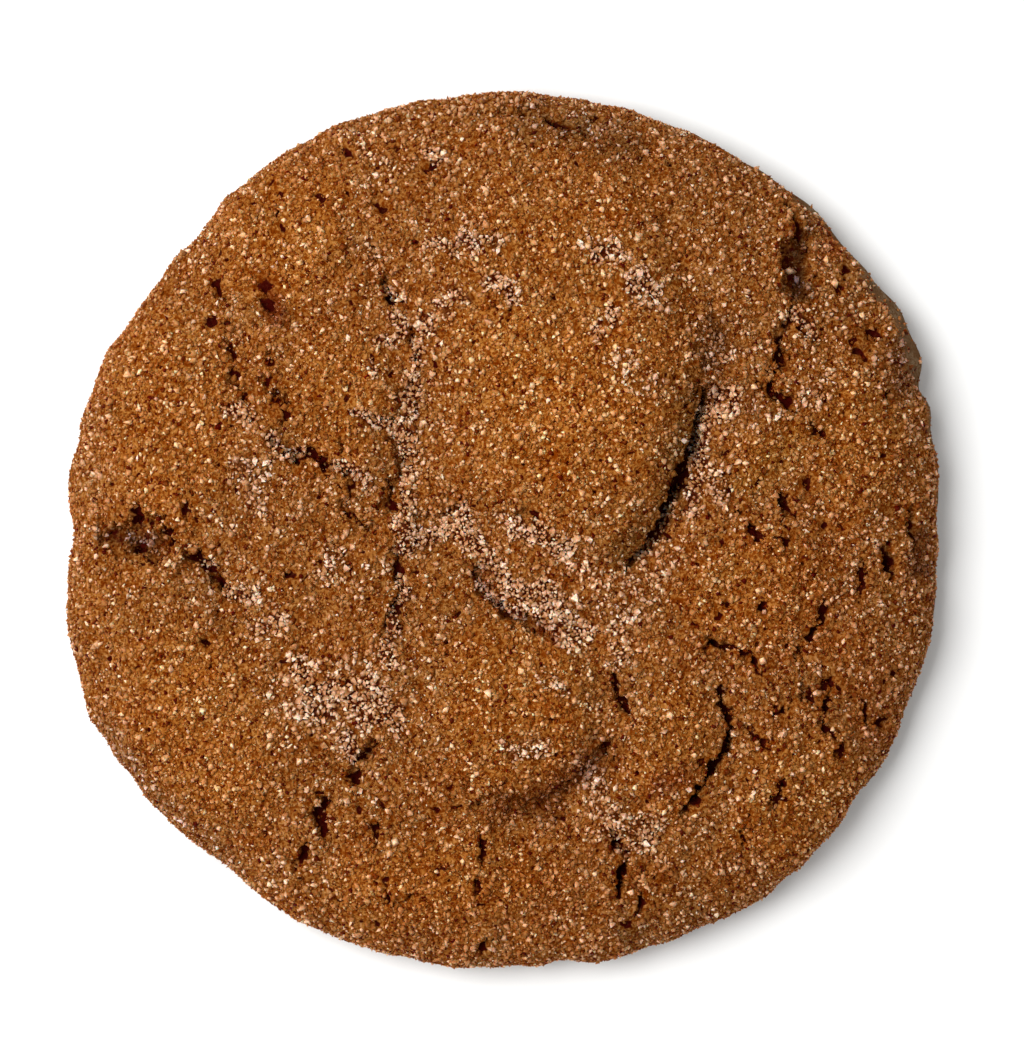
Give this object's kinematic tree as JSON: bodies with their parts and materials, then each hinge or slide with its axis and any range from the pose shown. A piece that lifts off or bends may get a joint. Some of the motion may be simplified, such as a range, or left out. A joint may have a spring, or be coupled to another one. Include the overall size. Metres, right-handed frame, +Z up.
{
  "type": "pumpkin snickerdoodle cookie",
  "caption": "Thick, soft, round snickerdoodle with a domed, cracked top, loose sugar in the cracks and a flat base to rest on.",
  "frame": {"origin": "on the flat base, under the middle of the cookie's box", "axes": "+Z up out of the cracked top, -Z out of the flat base, +X to the picture's right, +Y to the picture's top"},
  "size_m": [0.085, 0.0852, 0.0134],
  "materials": {
    "baked_dough": "rough baked crust, golden brown, coated in cinnamon sugar"
  },
  "bodies": {
    "root": {"cookie": "baked_dough"}
  },
  "joints": []
}
